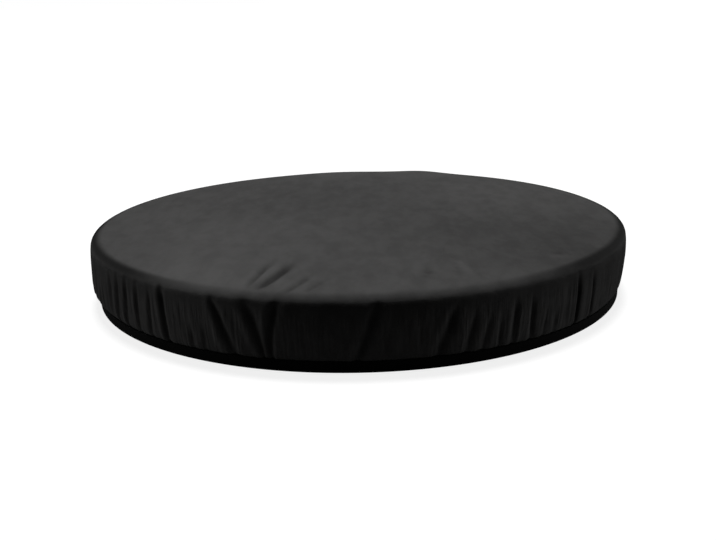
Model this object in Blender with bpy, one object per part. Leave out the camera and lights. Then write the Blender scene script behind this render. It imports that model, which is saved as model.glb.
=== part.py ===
"""A round swivel seat cushion.

A gathered cloth cover is drawn over a foam pad, and its elastic hem turns in under a plastic
turntable. The turntable runs on a ring of steel balls over a base plate with rubber pads, and a
bolt through the middle holds the two plates together.

The model is in metres with Z up. Its origin is on the swivel's axis, on the surface that the
rubber pads stand on, and the front of the seat looks along -Y.
"""

import math

import bmesh
import bpy
from mathutils import Matrix

MM = 0.001

# The whole cushion
SEAT_DIAMETER = 400 * MM
OVERALL_HEIGHT = 51 * MM
CLEARANCE = 0.3 * MM

# How many flats stand for a circle, and how far a cutter runs past what it cuts
SIDES = 40
SMALL_SIDES = 32
CUT_PAST = 5 * MM

# The cover's form: how far the crown rises, and the side's draw-in at each share of its height
CROWN = 1.5 * MM
CROWN_POWER = 2.4
CROWN_RINGS = (0.52, 0.955)
SIDE_DRAW_IN = (
    (6.5 * MM, 1.0),
    (2.4 * MM, 0.937),
    (0.0, 0.675),
    (1.1 * MM, 0.40),
    (2.6 * MM, 0.096),
)
HEM_CORNER_DRAW_IN = 4.0 * MM
CLOTH_DEPTH = 3.2 * MM

# Gathers run round the side, deepest at the hem and calmer round one azimuth. Azimuths are in
# degrees to the right of the front, and four points of a ring make one gather.
SIDE_POINTS = 3 * SIDES
GATHER_COUNT = SIDE_POINTS // 4
GATHER_DEPTH = 2.3 * MM
GATHER_RISE = 0.7
GATHER_SHARPNESS = 1.5
CALM_AZIMUTH = 0
CALM_SHARE = 0.45

# A few deeper folds lean across the front. Each has its azimuth at the shoulder and at the hem,
# then its depth, which it reaches at a share of the way down. Some cloth stays behind each fold.
FOLD_HALF_WIDTH = 3.0
FOLD_FULL_AT = 0.5
LEAST_CLOTH = 0.6 * MM
FOLDS = (
    (-40.0, -40.0, 2.6 * MM),
    (-28.5, -25.0, 2.0 * MM),
    (-20.5, -16.5, 1.7 * MM),
    (4.0, 0.5, 1.5 * MM),
    (16.5, 15.0, 2.0 * MM),
    (28.0, 27.0, 1.5 * MM),
    (47.0, 47.0, 2.6 * MM),
)

# The hem that holds the elastic, under the turntable's rim
HEM_REACH = 21.6 * MM
HEM_CLOTH = 0.7 * MM
HEM_CHANNEL = 7.7 * MM
HEM_RUNNING_GAP = 0.7 * MM
ELASTIC_WIDTH = 6.0 * MM
ELASTIC_THICKNESS = 0.6 * MM

# The balls and the tracks that they run in
BALL_COUNT = 16
BALL_DIAMETER = 8 * MM
TRACK_GAP = 2.9 * MM
TRACK_WIDTH = 18 * MM
TRACK_WALL = 2.25 * MM
GROOVE_SLACK = 0.8 * MM
GROOVE_STEPS = 6
CAGE_WIDTH = 14 * MM
CAGE_THICKNESS = 1.6 * MM
POCKET_SIDES = 10

# The two plates
BASE_INSET = 4.0 * MM
PLATE_WEB = 2.5 * MM
BASE_RIM = 2.0 * MM
TURNTABLE_RIM = 4.0 * MM
RIM_CHAMFER = 0.5 * MM
RIB_WALL = 1.6 * MM
RIB_COUNT = 8
RIB_SHORT = 0.6 * MM
MOST_RIB_SPACING = 35 * MM
TRACK_FOOT = 1.4 * MM

# The rubber pads under the base
PAD_COUNT = 8
PAD_DIAMETER = 30 * MM
PAD_THICKNESS = 2.4 * MM
PAD_PROUD = 1.0 * MM
PAD_WALL = 2.0 * MM
PAD_INSET = 31.0 * MM
PAD_TO_TRACK = 5.7 * MM
PAD_SIDES = 16

# The pivot in the middle
BOSS_DIAMETER = 30 * MM
BUSH_WALL = 1.7 * MM
BUSH_FLANGE_DIAMETER = 44 * MM
BUSH_FLANGE = 1.7 * MM
HUB_WALL = 3.6 * MM
HUB_BORDER = 7.0 * MM
THRUST_RING = 1.2 * MM
WASHER_DIAMETER = 46 * MM
WASHER_THICKNESS = 2.0 * MM
WELL_BORDER = 2.3 * MM
BOLT_DIAMETER = 6 * MM
BOLT_HEAD_DIAMETER = 12 * MM
BOLT_HEAD = 3.3 * MM
BOLT_HEAD_ROUNDING = 1.1 * MM
BOLT_SOCKET_ACROSS = 4 * MM
BOLT_SOCKET_DEPTH = 2.0 * MM
NUT_ACROSS = 10 * MM
NUT_HEIGHT = 5.0 * MM
CAP_DIAMETER = 36 * MM
CAP_THICKNESS = 1.6 * MM
CAP_WALL = 2.7 * MM
HEAD_ROOM = 1.0 * MM

# Radii that follow from the sizes above
seat_radius = SEAT_DIAMETER / 2
base_radius = seat_radius - BASE_INSET
hem_corner_radius = seat_radius - HEM_CORNER_DRAW_IN
hem_root_radius = hem_corner_radius - HEM_CLOTH - CLOTH_DEPTH / 2
most_fold = CLOTH_DEPTH - LEAST_CLOTH
turntable_radius = hem_root_radius - CLEARANCE
ball_radius = BALL_DIAMETER / 2
pad_radius = PAD_DIAMETER / 2
pad_boss_radius = pad_radius + CLEARANCE + PAD_WALL
pad_circle = base_radius - PAD_INSET
track_outer = pad_circle - pad_boss_radius - PAD_TO_TRACK
track_inner = track_outer - TRACK_WIDTH
track_radius = (track_outer + track_inner) / 2
groove_radius = ball_radius + CLEARANCE + GROOVE_SLACK
boss_radius = BOSS_DIAMETER / 2
bolt_radius = BOLT_DIAMETER / 2
bolt_hole_radius = bolt_radius + CLEARANCE
bush_inner = boss_radius + CLEARANCE
bush_outer = bush_inner + BUSH_WALL
bush_hole_radius = bush_outer + CLEARANCE
bush_flange_radius = BUSH_FLANGE_DIAMETER / 2
turntable_hub_radius = bush_flange_radius + HUB_BORDER
washer_radius = WASHER_DIAMETER / 2
well_radius = washer_radius + WELL_BORDER
cap_radius = CAP_DIAMETER / 2
cap_seat_radius = cap_radius + CLEARANCE
base_hub_radius = cap_seat_radius + CAP_WALL

# Heights, from the floor up
rim_bottom = PAD_PROUD
groove_depth = ball_radius + CLEARANCE - TRACK_GAP / 2
track_underside = rim_bottom + TRACK_FOOT
base_top = track_underside + TRACK_WALL + groove_depth
base_web_underside = base_top - PLATE_WEB
ball_height = base_top + TRACK_GAP / 2
track_face = base_top + TRACK_GAP
turntable_top = track_face + groove_depth + TRACK_WALL
turntable_web_underside = turntable_top - PLATE_WEB
hem_bottom = base_top + HEM_RUNNING_GAP
channel_floor = hem_bottom + HEM_CLOTH
channel_ceiling = channel_floor + ELASTIC_THICKNESS + 2 * CLEARANCE
hem_top = channel_ceiling + HEM_CLOTH
turntable_rim_bottom = hem_top + CLEARANCE
cap_seat = rim_bottom + CAP_THICKNESS + CLEARANCE
nut_bottom = cap_seat + CLEARANCE
nut_pocket_top = nut_bottom + NUT_HEIGHT + CLEARANCE
flange_bottom = base_top + CLEARANCE
hub_bottom = flange_bottom + BUSH_FLANGE + CLEARANCE
hub_top = hub_bottom + HUB_WALL
thrust_bottom = hub_top + CLEARANCE
boss_top = thrust_bottom + THRUST_RING
washer_bottom = boss_top + CLEARANCE
washer_top = washer_bottom + WASHER_THICKNESS
head_bottom = washer_top + CLEARANCE
head_top = head_bottom + BOLT_HEAD
foam_bottom = turntable_top + CLEARANCE
foam_well_top = head_top + HEAD_ROOM


def clear_scene():
    """Takes away whatever objects the scene holds."""
    for obj in list(bpy.data.objects):
        bpy.data.objects.remove(obj)


def finish(name, colour, roughness, metallic=0.0):
    """A Principled material of one colour."""
    material = bpy.data.materials.new(name)
    material.use_nodes = True
    shader = material.node_tree.nodes["Principled BSDF"]
    shader.inputs["Base Color"].default_value = (*colour, 1)
    shader.inputs["Roughness"].default_value = roughness
    shader.inputs["Metallic"].default_value = metallic
    material.diffuse_color = (*colour, 1)
    return material


def empty(name, parent=None):
    """An empty on the swivel's axis that carries the pieces of one moving group."""
    axis = bpy.data.objects.new(name, None)
    axis.parent = parent
    bpy.context.collection.objects.link(axis)
    return axis


def piece(name, bm, material, parent, location=(0, 0, 0), turn=0.0):
    """Puts a bmesh in the scene as a named object under its parent."""
    mesh = bpy.data.meshes.new(name)
    bm.to_mesh(mesh)
    bm.free()
    mesh.materials.append(material)
    mesh.shade_smooth()
    mesh.set_sharp_from_angle(angle=math.radians(35))
    obj = bpy.data.objects.new(name, mesh)
    obj.parent = parent
    obj.location = location
    obj.rotation_euler.z = turn
    bpy.context.collection.objects.link(obj)
    return obj


def helper(name, bm):
    """A shape that is only added to or cut from another one, and isn't a piece."""
    mesh = bpy.data.meshes.new(name)
    bm.to_mesh(mesh)
    bm.free()
    obj = bpy.data.objects.new(name, mesh)
    obj.hide_render = True
    obj.display_type = "WIRE"
    bpy.context.collection.objects.link(obj)
    return obj


def combine(target, operation, other):
    """Adds the other object to the target, or cuts it from it, with a live modifier."""
    modifier = target.modifiers.new(other.name, "BOOLEAN")
    modifier.operation = operation
    modifier.solver = "EXACT"
    modifier.object = other


def turned(outline, sides):
    """Turns (radius, height) points about Z. An outline that starts and ends on Z stays open."""
    bm = bmesh.new()
    points = [bm.verts.new((radius, 0, height)) for radius, height in outline]
    runs = list(zip(points, points[1:]))
    if outline[0][0] > 0:
        runs.append((points[-1], points[0]))
    edges = [bm.edges.new(run) for run in runs]
    bmesh.ops.spin(
        bm,
        geom=points + edges,
        cent=(0, 0, 0),
        axis=(0, 0, 1),
        angle=math.tau,
        steps=sides,
        use_merge=True,
    )
    bmesh.ops.remove_doubles(bm, verts=bm.verts, dist=0.001 * MM)
    bmesh.ops.recalc_face_normals(bm, faces=bm.faces)
    return bm


def add_cylinder(bm, radius, bottom, top, sides, place=Matrix.Identity(4)):
    """Adds an upright cylinder, or a prism of few sides, to a bmesh."""
    bmesh.ops.create_cone(
        bm,
        cap_ends=True,
        segments=sides,
        radius1=radius,
        radius2=radius,
        depth=top - bottom,
        matrix=place @ Matrix.Translation((0, 0, (top + bottom) / 2)),
    )


def cylinder(radius, bottom, top, sides):
    bm = bmesh.new()
    add_cylinder(bm, radius, bottom, top, sides)
    return bm


def around(count, radius, first=0.0):
    """The places of count things on a circle, each turned so that its X points outwards."""
    turns = [first + math.tau * k / count for k in range(count)]
    return [Matrix.Rotation(t, 4, "Z") @ Matrix.Translation((radius, 0, 0)) for t in turns]


def hexagon_radius(across):
    """The corner radius of a hexagon from its size across the flats."""
    return across / 2 / math.cos(math.pi / 6)


def groove(face, direction):
    """A ball groove's outline, from the outer edge of the track inwards.

    Direction is -1 where the groove sinks down from the face and 1 where it rises from it.
    """
    centre = ball_height - direction * GROOVE_SLACK
    half_angle = math.acos(abs(face - centre) / groove_radius)
    points = []
    for step in range(GROOVE_STEPS + 1):
        angle = half_angle * (1 - 2 * step / GROOVE_STEPS)
        radius = track_radius + groove_radius * math.sin(angle)
        points.append((radius, centre + direction * groove_radius * math.cos(angle)))
    return points


def ring_ribs(inner, outer, root, tip):
    """The outline of the ring ribs between two walls, near enough that no gap is wide."""
    gaps = math.ceil((outer - inner) / MOST_RIB_SPACING)
    points = []
    for k in range(1, gaps):
        middle = inner + (outer - inner) * k / gaps
        low = middle - RIB_WALL / 2
        high = middle + RIB_WALL / 2
        points += [(low, root), (low, tip), (high, tip), (high, root)]
    return points


def add_spokes(bm, inner, outer, bottom, top):
    """Adds straight ribs that run outwards between two radii."""
    size = (outer - inner, RIB_WALL, top - bottom)
    for place in around(RIB_COUNT, (inner + outer) / 2):
        middle = Matrix.Translation((0, 0, (top + bottom) / 2))
        bmesh.ops.create_cube(bm, size=1, matrix=place @ middle @ Matrix.Diagonal((*size, 1)))


def base_plate_outline():
    """Half the base plate's section: below from the middle outwards, then back along the top."""
    rib_tip = rim_bottom + RIB_SHORT
    rim_inner = base_radius - BASE_RIM
    below = [
        (bolt_hole_radius, cap_seat),
        (cap_seat_radius, cap_seat),
        (cap_seat_radius, rim_bottom),
        (base_hub_radius, rim_bottom),
        (base_hub_radius, base_web_underside),
        *ring_ribs(base_hub_radius, track_inner, base_web_underside, rib_tip),
        (track_inner, base_web_underside),
        (track_inner, track_underside),
        (track_outer, track_underside),
        (track_outer, base_web_underside),
        *ring_ribs(track_outer, rim_inner, base_web_underside, rib_tip),
        (rim_inner, base_web_underside),
        (rim_inner, rim_bottom),
    ]
    above = [
        (base_radius - RIM_CHAMFER, rim_bottom),
        (base_radius, rim_bottom + RIM_CHAMFER),
        (base_radius, base_top - RIM_CHAMFER),
        (base_radius - RIM_CHAMFER, base_top),
        *groove(base_top, -1),
        (boss_radius, base_top),
        (boss_radius, boss_top),
        (bolt_hole_radius, boss_top),
    ]
    return below + above


def turntable_outline():
    """Half the turntable's section: above from the middle outwards, then back underneath."""
    rib_tip = turntable_rim_bottom + RIB_SHORT
    rim_inner = turntable_radius - TURNTABLE_RIM
    above = [
        (bush_hole_radius, hub_bottom),
        (bush_hole_radius, hub_top),
        (well_radius, hub_top),
        (well_radius, turntable_top),
        (turntable_radius - RIM_CHAMFER, turntable_top),
        (turntable_radius, turntable_top - RIM_CHAMFER),
        (turntable_radius, turntable_rim_bottom + RIM_CHAMFER),
        (turntable_radius - RIM_CHAMFER, turntable_rim_bottom),
    ]
    below = [
        (rim_inner, turntable_rim_bottom),
        (rim_inner, turntable_web_underside),
        *reversed(ring_ribs(track_outer, rim_inner, turntable_web_underside, rib_tip)),
        (track_outer, turntable_web_underside),
        (track_outer, track_face),
        *groove(track_face, 1),
        (track_inner, track_face),
        (track_inner, turntable_web_underside),
        *reversed(ring_ribs(turntable_hub_radius, track_inner, turntable_web_underside, rib_tip)),
        (turntable_hub_radius, turntable_web_underside),
        (turntable_hub_radius, hub_bottom),
    ]
    return above + below


def add_base(parent, plastic, rubber):
    """The base plate with its ribs, pad seats and nut pocket, and the rubber pads in it."""
    plate = piece("base_plate", turned(base_plate_outline(), SIDES), plastic, parent)
    pad_places = around(PAD_COUNT, pad_circle, math.pi / PAD_COUNT)
    added = bmesh.new()
    spoke_bottom = rim_bottom + RIB_SHORT / 2
    spoke_top = base_web_underside + PLATE_WEB / 2
    add_spokes(added, base_hub_radius - CAP_WALL / 2, track_inner + RIB_WALL, spoke_bottom, spoke_top)
    add_spokes(added, track_outer - RIB_WALL, base_radius - BASE_RIM / 2, spoke_bottom, spoke_top)
    for place in pad_places:
        add_cylinder(added, pad_boss_radius, rim_bottom, spoke_top, PAD_SIDES, place)
    combine(plate, "UNION", helper("base_ribs_and_bosses", added))
    cut = bmesh.new()
    for place in pad_places:
        add_cylinder(
            cut,
            pad_radius + CLEARANCE,
            rim_bottom - CUT_PAST,
            PAD_THICKNESS + CLEARANCE,
            PAD_SIDES,
            place,
        )
    nut_pocket_radius = hexagon_radius(NUT_ACROSS + 2 * CLEARANCE)
    add_cylinder(cut, nut_pocket_radius, cap_seat - CUT_PAST, nut_pocket_top, 6)
    combine(plate, "DIFFERENCE", helper("pad_seats_and_nut_pocket", cut))
    for k, place in enumerate(pad_places):
        pad = cylinder(pad_radius, 0, PAD_THICKNESS, PAD_SIDES)
        turn = place.to_euler().z
        piece(f"grip_pad_{k + 1}", pad, rubber, parent, place.translation, turn)


def add_fasteners(parent, plastic, steel):
    """The bolt, washer and nut that hold the plates together, and the cap over the nut."""
    head_radius = BOLT_HEAD_DIAMETER / 2
    bolt_outline = [
        (0, head_top),
        (head_radius - BOLT_HEAD_ROUNDING, head_top),
        (head_radius, head_top - BOLT_HEAD_ROUNDING),
        (head_radius, head_bottom),
        (bolt_radius, head_bottom),
        (bolt_radius, nut_bottom + RIM_CHAMFER),
        (bolt_radius - RIM_CHAMFER, nut_bottom),
        (0, nut_bottom),
    ]
    bolt = piece("pivot_bolt", turned(bolt_outline, SMALL_SIDES), steel, parent)
    socket_radius = hexagon_radius(BOLT_SOCKET_ACROSS)
    socket = cylinder(socket_radius, head_top - BOLT_SOCKET_DEPTH, head_top + CUT_PAST, 6)
    combine(bolt, "DIFFERENCE", helper("bolt_socket", socket))
    washer = [
        (bolt_hole_radius, washer_bottom),
        (washer_radius, washer_bottom),
        (washer_radius, washer_top),
        (bolt_hole_radius, washer_top),
    ]
    piece("retaining_washer", turned(washer, SMALL_SIDES), steel, parent)
    nut_top = nut_bottom + NUT_HEIGHT
    hexagon = cylinder(hexagon_radius(NUT_ACROSS), nut_bottom, nut_top, 6)
    nut = piece("lock_nut", hexagon, steel, parent)
    bore = cylinder(bolt_hole_radius, nut_bottom - CUT_PAST, nut_top + CUT_PAST, SMALL_SIDES)
    combine(nut, "DIFFERENCE", helper("nut_bore", bore))
    cap_top = rim_bottom + CAP_THICKNESS
    cap = [
        (0, cap_top),
        (cap_radius, cap_top),
        (cap_radius, rim_bottom + RIM_CHAMFER),
        (cap_radius - RIM_CHAMFER, rim_bottom),
        (0, rim_bottom),
    ]
    piece("hub_cap", turned(cap, SMALL_SIDES), plastic, parent)


def add_balls(parent, nylon, ball_steel):
    """The cage that spaces the balls, and the balls, each turned so that its X is its roll axis."""
    inner = track_radius - CAGE_WIDTH / 2
    outer = track_radius + CAGE_WIDTH / 2
    bottom = ball_height - CAGE_THICKNESS / 2
    top = ball_height + CAGE_THICKNESS / 2
    ring = [(inner, bottom), (outer, bottom), (outer, top), (inner, top)]
    cage = piece("ball_cage", turned(ring, SIDES), nylon, parent)
    pockets = bmesh.new()
    pocket_radius = (ball_radius + CLEARANCE) / math.cos(math.pi / POCKET_SIDES)
    ball_places = around(BALL_COUNT, track_radius)
    for place in ball_places:
        add_cylinder(
            pockets, pocket_radius, bottom - CUT_PAST, top + CUT_PAST, POCKET_SIDES, place
        )
    combine(cage, "DIFFERENCE", helper("cage_pockets", pockets))
    for k, place in enumerate(ball_places):
        ball = bmesh.new()
        bmesh.ops.create_icosphere(ball, subdivisions=2, radius=ball_radius)
        middle = (*place.translation.xy, ball_height)
        piece(f"ball_{k + 1:02d}", ball, ball_steel, parent, middle, place.to_euler().z)


def add_turntable(parent, plastic, nylon):
    """The turntable, the flanged bush in its hub and the thrust ring under the washer."""
    table = piece("turntable_plate", turned(turntable_outline(), SIDES), plastic, parent)
    spokes = bmesh.new()
    bottom = turntable_rim_bottom + RIB_SHORT / 2
    top = turntable_web_underside + PLATE_WEB / 2
    rim_middle = turntable_radius - TURNTABLE_RIM / 2
    add_spokes(spokes, turntable_hub_radius - RIB_WALL, track_inner + RIB_WALL, bottom, top)
    add_spokes(spokes, track_outer - RIB_WALL, rim_middle, bottom, top)
    combine(table, "UNION", helper("turntable_ribs", spokes))
    bush = [
        (bush_inner, flange_bottom),
        (bush_flange_radius, flange_bottom),
        (bush_flange_radius, flange_bottom + BUSH_FLANGE),
        (bush_outer, flange_bottom + BUSH_FLANGE),
        (bush_outer, hub_top),
        (bush_inner, hub_top),
    ]
    piece("pivot_bush", turned(bush, SMALL_SIDES), nylon, parent)
    thrust = [
        (bush_inner, thrust_bottom),
        (bush_flange_radius, thrust_bottom),
        (bush_flange_radius, boss_top),
        (bush_inner, boss_top),
    ]
    piece("thrust_ring", turned(thrust, SMALL_SIDES), nylon, parent)


def crown_height(radius):
    """The height of the seat's gently domed top at a radius."""
    shoulder = seat_radius - SIDE_DRAW_IN[0][0]
    return OVERALL_HEIGHT - CROWN * (radius / shoulder) ** CROWN_POWER


def crown_outline():
    """The top of the cover's mean surface from the middle to just before the shoulder."""
    shoulder = seat_radius - SIDE_DRAW_IN[0][0]
    radii = [shoulder * share for share in (0, *CROWN_RINGS)]
    return [(radius, crown_height(radius)) for radius in radii]


def side_outline():
    """The side of the cover's mean surface, from the shoulder down to just above the hem."""
    height = OVERALL_HEIGHT - CROWN - hem_bottom
    return [(seat_radius - draw_in, hem_bottom + height * share) for draw_in, share in SIDE_DRAW_IN]


def inset(outline, distance):
    """The outline moved inwards by a distance, each corner along the line that halves it."""
    moved = []
    for k, (radius, height) in enumerate(outline):
        before = outline[k - 1] if k > 0 else (-outline[1][0], outline[1][1])
        after = outline[min(k + 1, len(outline) - 1)]
        first = math.atan2(height - before[1], radius - before[0])
        second = math.atan2(after[1] - height, after[0] - radius) if after != outline[k] else first
        across = (first + second) / 2 - math.pi / 2
        reach = distance / math.cos((first - second) / 2)
        moved.append((radius + reach * math.cos(across), height + reach * math.sin(across)))
    moved[0] = (0, moved[0][1])
    return moved


def fold_depth(azimuth, share):
    """How far the cloth lies inside its outermost line: the gathers, and the deeper folds.

    The azimuth is in degrees to the right of the front, and the share runs from 0 at the shoulder
    to 1 at the hem.
    """
    calm = CALM_SHARE * (0.5 + 0.5 * math.cos(math.radians(azimuth - CALM_AZIMUTH))) ** 2
    wave = 0.5 - 0.5 * math.cos(math.radians(azimuth) * GATHER_COUNT)
    gathers = GATHER_DEPTH * (1 - calm) * share**GATHER_RISE * wave**GATHER_SHARPNESS
    folds = 0
    for at_shoulder, at_hem, depth in FOLDS:
        apart = (azimuth - at_shoulder - (at_hem - at_shoulder) * share + 180) % 360 - 180
        folds += depth * math.exp(-((apart / FOLD_HALF_WIDTH) ** 2))
    return min(gathers + folds * min(1, share / FOLD_FULL_AT), most_fold)


def cloth_ring(bm, radius, height, points, share=0.0):
    """A ring of points on the cloth, drawn in by its folds. The front is a quarter turn before +X."""
    ring = []
    for k in range(points):
        turn = math.tau * k / points
        azimuth = math.degrees(turn) + 90
        at = radius - (fold_depth(azimuth, share) if share else 0)
        ring.append(bm.verts.new((at * math.cos(turn), at * math.sin(turn), height)))
    return ring


def stitch(bm, ring, following):
    """Joins two rings by faces. One may be a single point, or have several times the points."""
    if len(ring) < len(following):
        ring, following = following, ring
    count = len(ring)
    if len(following) == 1:
        for k in range(count):
            bm.faces.new((ring[k], ring[(k + 1) % count], following[0]))
        return
    if len(following) == count:
        for k in range(count):
            n = (k + 1) % count
            bm.faces.new((ring[k], ring[n], following[n], following[k]))
        return
    ratio = count // len(following)
    for k, near in enumerate(following):
        far = following[(k + 1) % len(following)]
        run = [ring[(ratio * k + step) % count] for step in range(ratio + 1)]
        half = ratio // 2
        bm.faces.new((near, run[half], far))
        for step in range(ratio):
            bm.faces.new((near if step < half else far, run[step], run[step + 1]))


def hem_outline():
    """The turned-in hem: its underside inwards, then back over itself round the elastic."""
    inner = seat_radius - HEM_REACH
    channel_inner = inner + HEM_CLOTH
    channel_outer = channel_inner + HEM_CHANNEL
    return [
        (hem_corner_radius, hem_bottom),
        (inner, hem_bottom),
        (inner, hem_top),
        (channel_outer, hem_top),
        (channel_outer, channel_ceiling),
        (channel_inner, channel_ceiling),
        (channel_inner, channel_floor),
        (hem_root_radius, channel_floor),
    ]


def cover_lining():
    """The cover's inner surface, from the crown down to the plate's level."""
    return inset(crown_outline() + side_outline(), CLOTH_DEPTH)[:-2]


def foam_wall_bottom():
    """The lowest point of the foam's side, beside the turntable's top edge."""
    lowest = side_outline()[-1][0] - CLOTH_DEPTH - CLEARANCE
    return (lowest, foam_bottom)


def add_cover(parent, cloth):
    """The gathered cover as one body: its face, its turned hem and its lining."""
    bm = bmesh.new()
    crown = crown_outline()
    side = side_outline()
    shoulder_height = side[0][1]
    rings = [[bm.verts.new((0, 0, crown[0][1]))]]
    rings += [cloth_ring(bm, radius, height, SIDES) for radius, height in crown[1:]]
    for radius, height in side:
        share = (shoulder_height - height) / (shoulder_height - hem_bottom)
        rings.append(cloth_ring(bm, radius, height, SIDE_POINTS, share))
    rings += [cloth_ring(bm, radius, height, SIDES) for radius, height in hem_outline()]
    wall_bottom = (foam_wall_bottom()[0] + CLEARANCE, foam_bottom)
    lining = [wall_bottom, *reversed(cover_lining())]
    rings += [cloth_ring(bm, radius, height, SIDES) for radius, height in lining[:-1]]
    rings.append([bm.verts.new((0, 0, lining[-1][1]))])
    for ring, following in zip(rings, rings[1:]):
        stitch(bm, ring, following)
    bmesh.ops.recalc_face_normals(bm, faces=bm.faces)
    piece("cover", bm, cloth, parent)


def add_foam(parent, foam):
    """The foam pad, crowned like the cover, with a well underneath for the bolt's head."""
    well = well_radius + CLEARANCE
    outline = inset(crown_outline() + side_outline(), CLOTH_DEPTH + CLEARANCE)[:-2]
    outline += [
        foam_wall_bottom(),
        (well, foam_bottom),
        (well, foam_well_top),
        (0, foam_well_top),
    ]
    piece("foam_pad", turned(outline, SIDES), foam, parent)


def add_elastic(parent, elastic):
    """The flat elastic in the hem's channel."""
    middle = seat_radius - HEM_REACH + HEM_CLOTH + HEM_CHANNEL / 2
    inner = middle - ELASTIC_WIDTH / 2
    outer = middle + ELASTIC_WIDTH / 2
    bottom = channel_floor + CLEARANCE
    top = bottom + ELASTIC_THICKNESS
    band = [(inner, bottom), (outer, bottom), (outer, top), (inner, top)]
    piece("hem_elastic", turned(band, SIDES), elastic, parent)


clear_scene()
cover_cloth = finish("cover_cloth", (0.045, 0.044, 0.046), 0.85)
elastic_cloth = finish("elastic_cloth", (0.03, 0.03, 0.03), 0.8)
foam_plastic = finish("foam_plastic", (0.32, 0.32, 0.34), 0.95)
moulded_plastic = finish("moulded_plastic", (0.012, 0.012, 0.012), 0.5)
white_nylon = finish("white_nylon", (0.75, 0.74, 0.7), 0.4)
pad_rubber = finish("pad_rubber", (0.02, 0.02, 0.02), 0.7)
plated_steel = finish("plated_steel", (0.55, 0.55, 0.57), 0.35, 1.0)
ball_steel = finish("ball_steel", (0.65, 0.65, 0.67), 0.12, 1.0)

base_axis = empty("base_axis")
cage_axis = empty("cage_axis", parent=base_axis)
seat_axis = empty("seat_axis", parent=base_axis)
add_base(base_axis, moulded_plastic, pad_rubber)
add_fasteners(base_axis, moulded_plastic, plated_steel)
add_balls(cage_axis, white_nylon, ball_steel)
add_turntable(seat_axis, moulded_plastic, white_nylon)
add_foam(seat_axis, foam_plastic)
add_cover(seat_axis, cover_cloth)
add_elastic(seat_axis, elastic_cloth)
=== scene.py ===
# %% [markdown]
# A round swivel seat cushion, seen from a little above its front edge. A black velour cover is
# drawn over a foam pad and gathered by elastic under a turntable, and a thin rim of the base
# plate shows below it. The construction comes from a fixed model, whose pieces are all in place,
# so this script only gives them their looks: finer shapes where the eye reaches, and a finish for
# every surface. Lengths are in metres, so a millimetre has a name of its own.

# %% The fixed model
import math

import bmesh
import bpy
import numpy as np
from mathutils import Matrix, Vector


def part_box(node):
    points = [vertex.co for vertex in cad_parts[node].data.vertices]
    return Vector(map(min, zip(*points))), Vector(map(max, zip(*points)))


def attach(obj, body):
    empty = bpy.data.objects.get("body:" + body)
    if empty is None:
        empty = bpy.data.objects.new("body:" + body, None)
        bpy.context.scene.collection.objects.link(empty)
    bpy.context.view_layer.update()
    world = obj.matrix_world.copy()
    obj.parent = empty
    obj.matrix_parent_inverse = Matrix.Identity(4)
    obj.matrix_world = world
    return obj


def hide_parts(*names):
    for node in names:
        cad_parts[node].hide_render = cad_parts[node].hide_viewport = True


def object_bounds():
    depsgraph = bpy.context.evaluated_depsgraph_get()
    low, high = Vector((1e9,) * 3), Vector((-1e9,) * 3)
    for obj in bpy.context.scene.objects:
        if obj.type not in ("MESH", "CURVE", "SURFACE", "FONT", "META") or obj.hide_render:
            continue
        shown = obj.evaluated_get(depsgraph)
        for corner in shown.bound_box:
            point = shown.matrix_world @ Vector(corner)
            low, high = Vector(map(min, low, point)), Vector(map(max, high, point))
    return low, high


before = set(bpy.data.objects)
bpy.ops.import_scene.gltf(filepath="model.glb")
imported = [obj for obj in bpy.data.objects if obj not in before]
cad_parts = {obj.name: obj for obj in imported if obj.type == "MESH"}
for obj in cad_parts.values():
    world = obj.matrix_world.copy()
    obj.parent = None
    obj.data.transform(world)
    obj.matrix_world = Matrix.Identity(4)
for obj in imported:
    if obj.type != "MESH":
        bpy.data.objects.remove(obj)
solid_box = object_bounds()
MM = 0.001

# %% [markdown]
# The photograph was taken from less than a metre away, a little above the cushion, and the camera
# leaned by about a degree. A camera is easiest to place by what it looks at: a distance and an
# elevation from a point inside the object, then an aim that sets where the object sits in the
# picture, and last a roll about the line of sight.

# %% Camera
PHOTO_WIDTH = 716
FOCAL_PIXELS = 951
SENSOR_WIDTH = 36
VIEW_DISTANCE = 0.74
VIEW_ELEVATION = math.radians(14.87)
VIEW_ROLL = math.radians(1.32)
VIEW_MIDDLE = Vector((0, 0, 25 * MM))
AIM = Vector((-0.6 * MM, 0, 7.1 * MM))

camera_data = bpy.data.cameras.new("camera")
camera_data.sensor_width = SENSOR_WIDTH
camera_data.lens = SENSOR_WIDTH * FOCAL_PIXELS / PHOTO_WIDTH
camera = bpy.data.objects.new("camera", camera_data)
bpy.context.collection.objects.link(camera)
towards_eye = Vector((0, -math.cos(VIEW_ELEVATION), math.sin(VIEW_ELEVATION)))
camera.location = VIEW_MIDDLE + VIEW_DISTANCE * towards_eye
look = (AIM - camera.location).to_track_quat("-Z", "Y").to_matrix()
camera.rotation_euler = (look @ Matrix.Rotation(-VIEW_ROLL, 3, "Z")).to_euler()
bpy.context.scene.camera = camera
print("lens:", round(camera_data.lens, 1), "mm")

# %% [markdown]
# A material is a graph of nodes, and writing one as links between sockets hides what it says.
# Here a small class wraps a socket, so that arithmetic on it adds the Math nodes, and a second
# one adds any other node in one call. A pattern then reads like the sentence that describes it.

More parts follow.
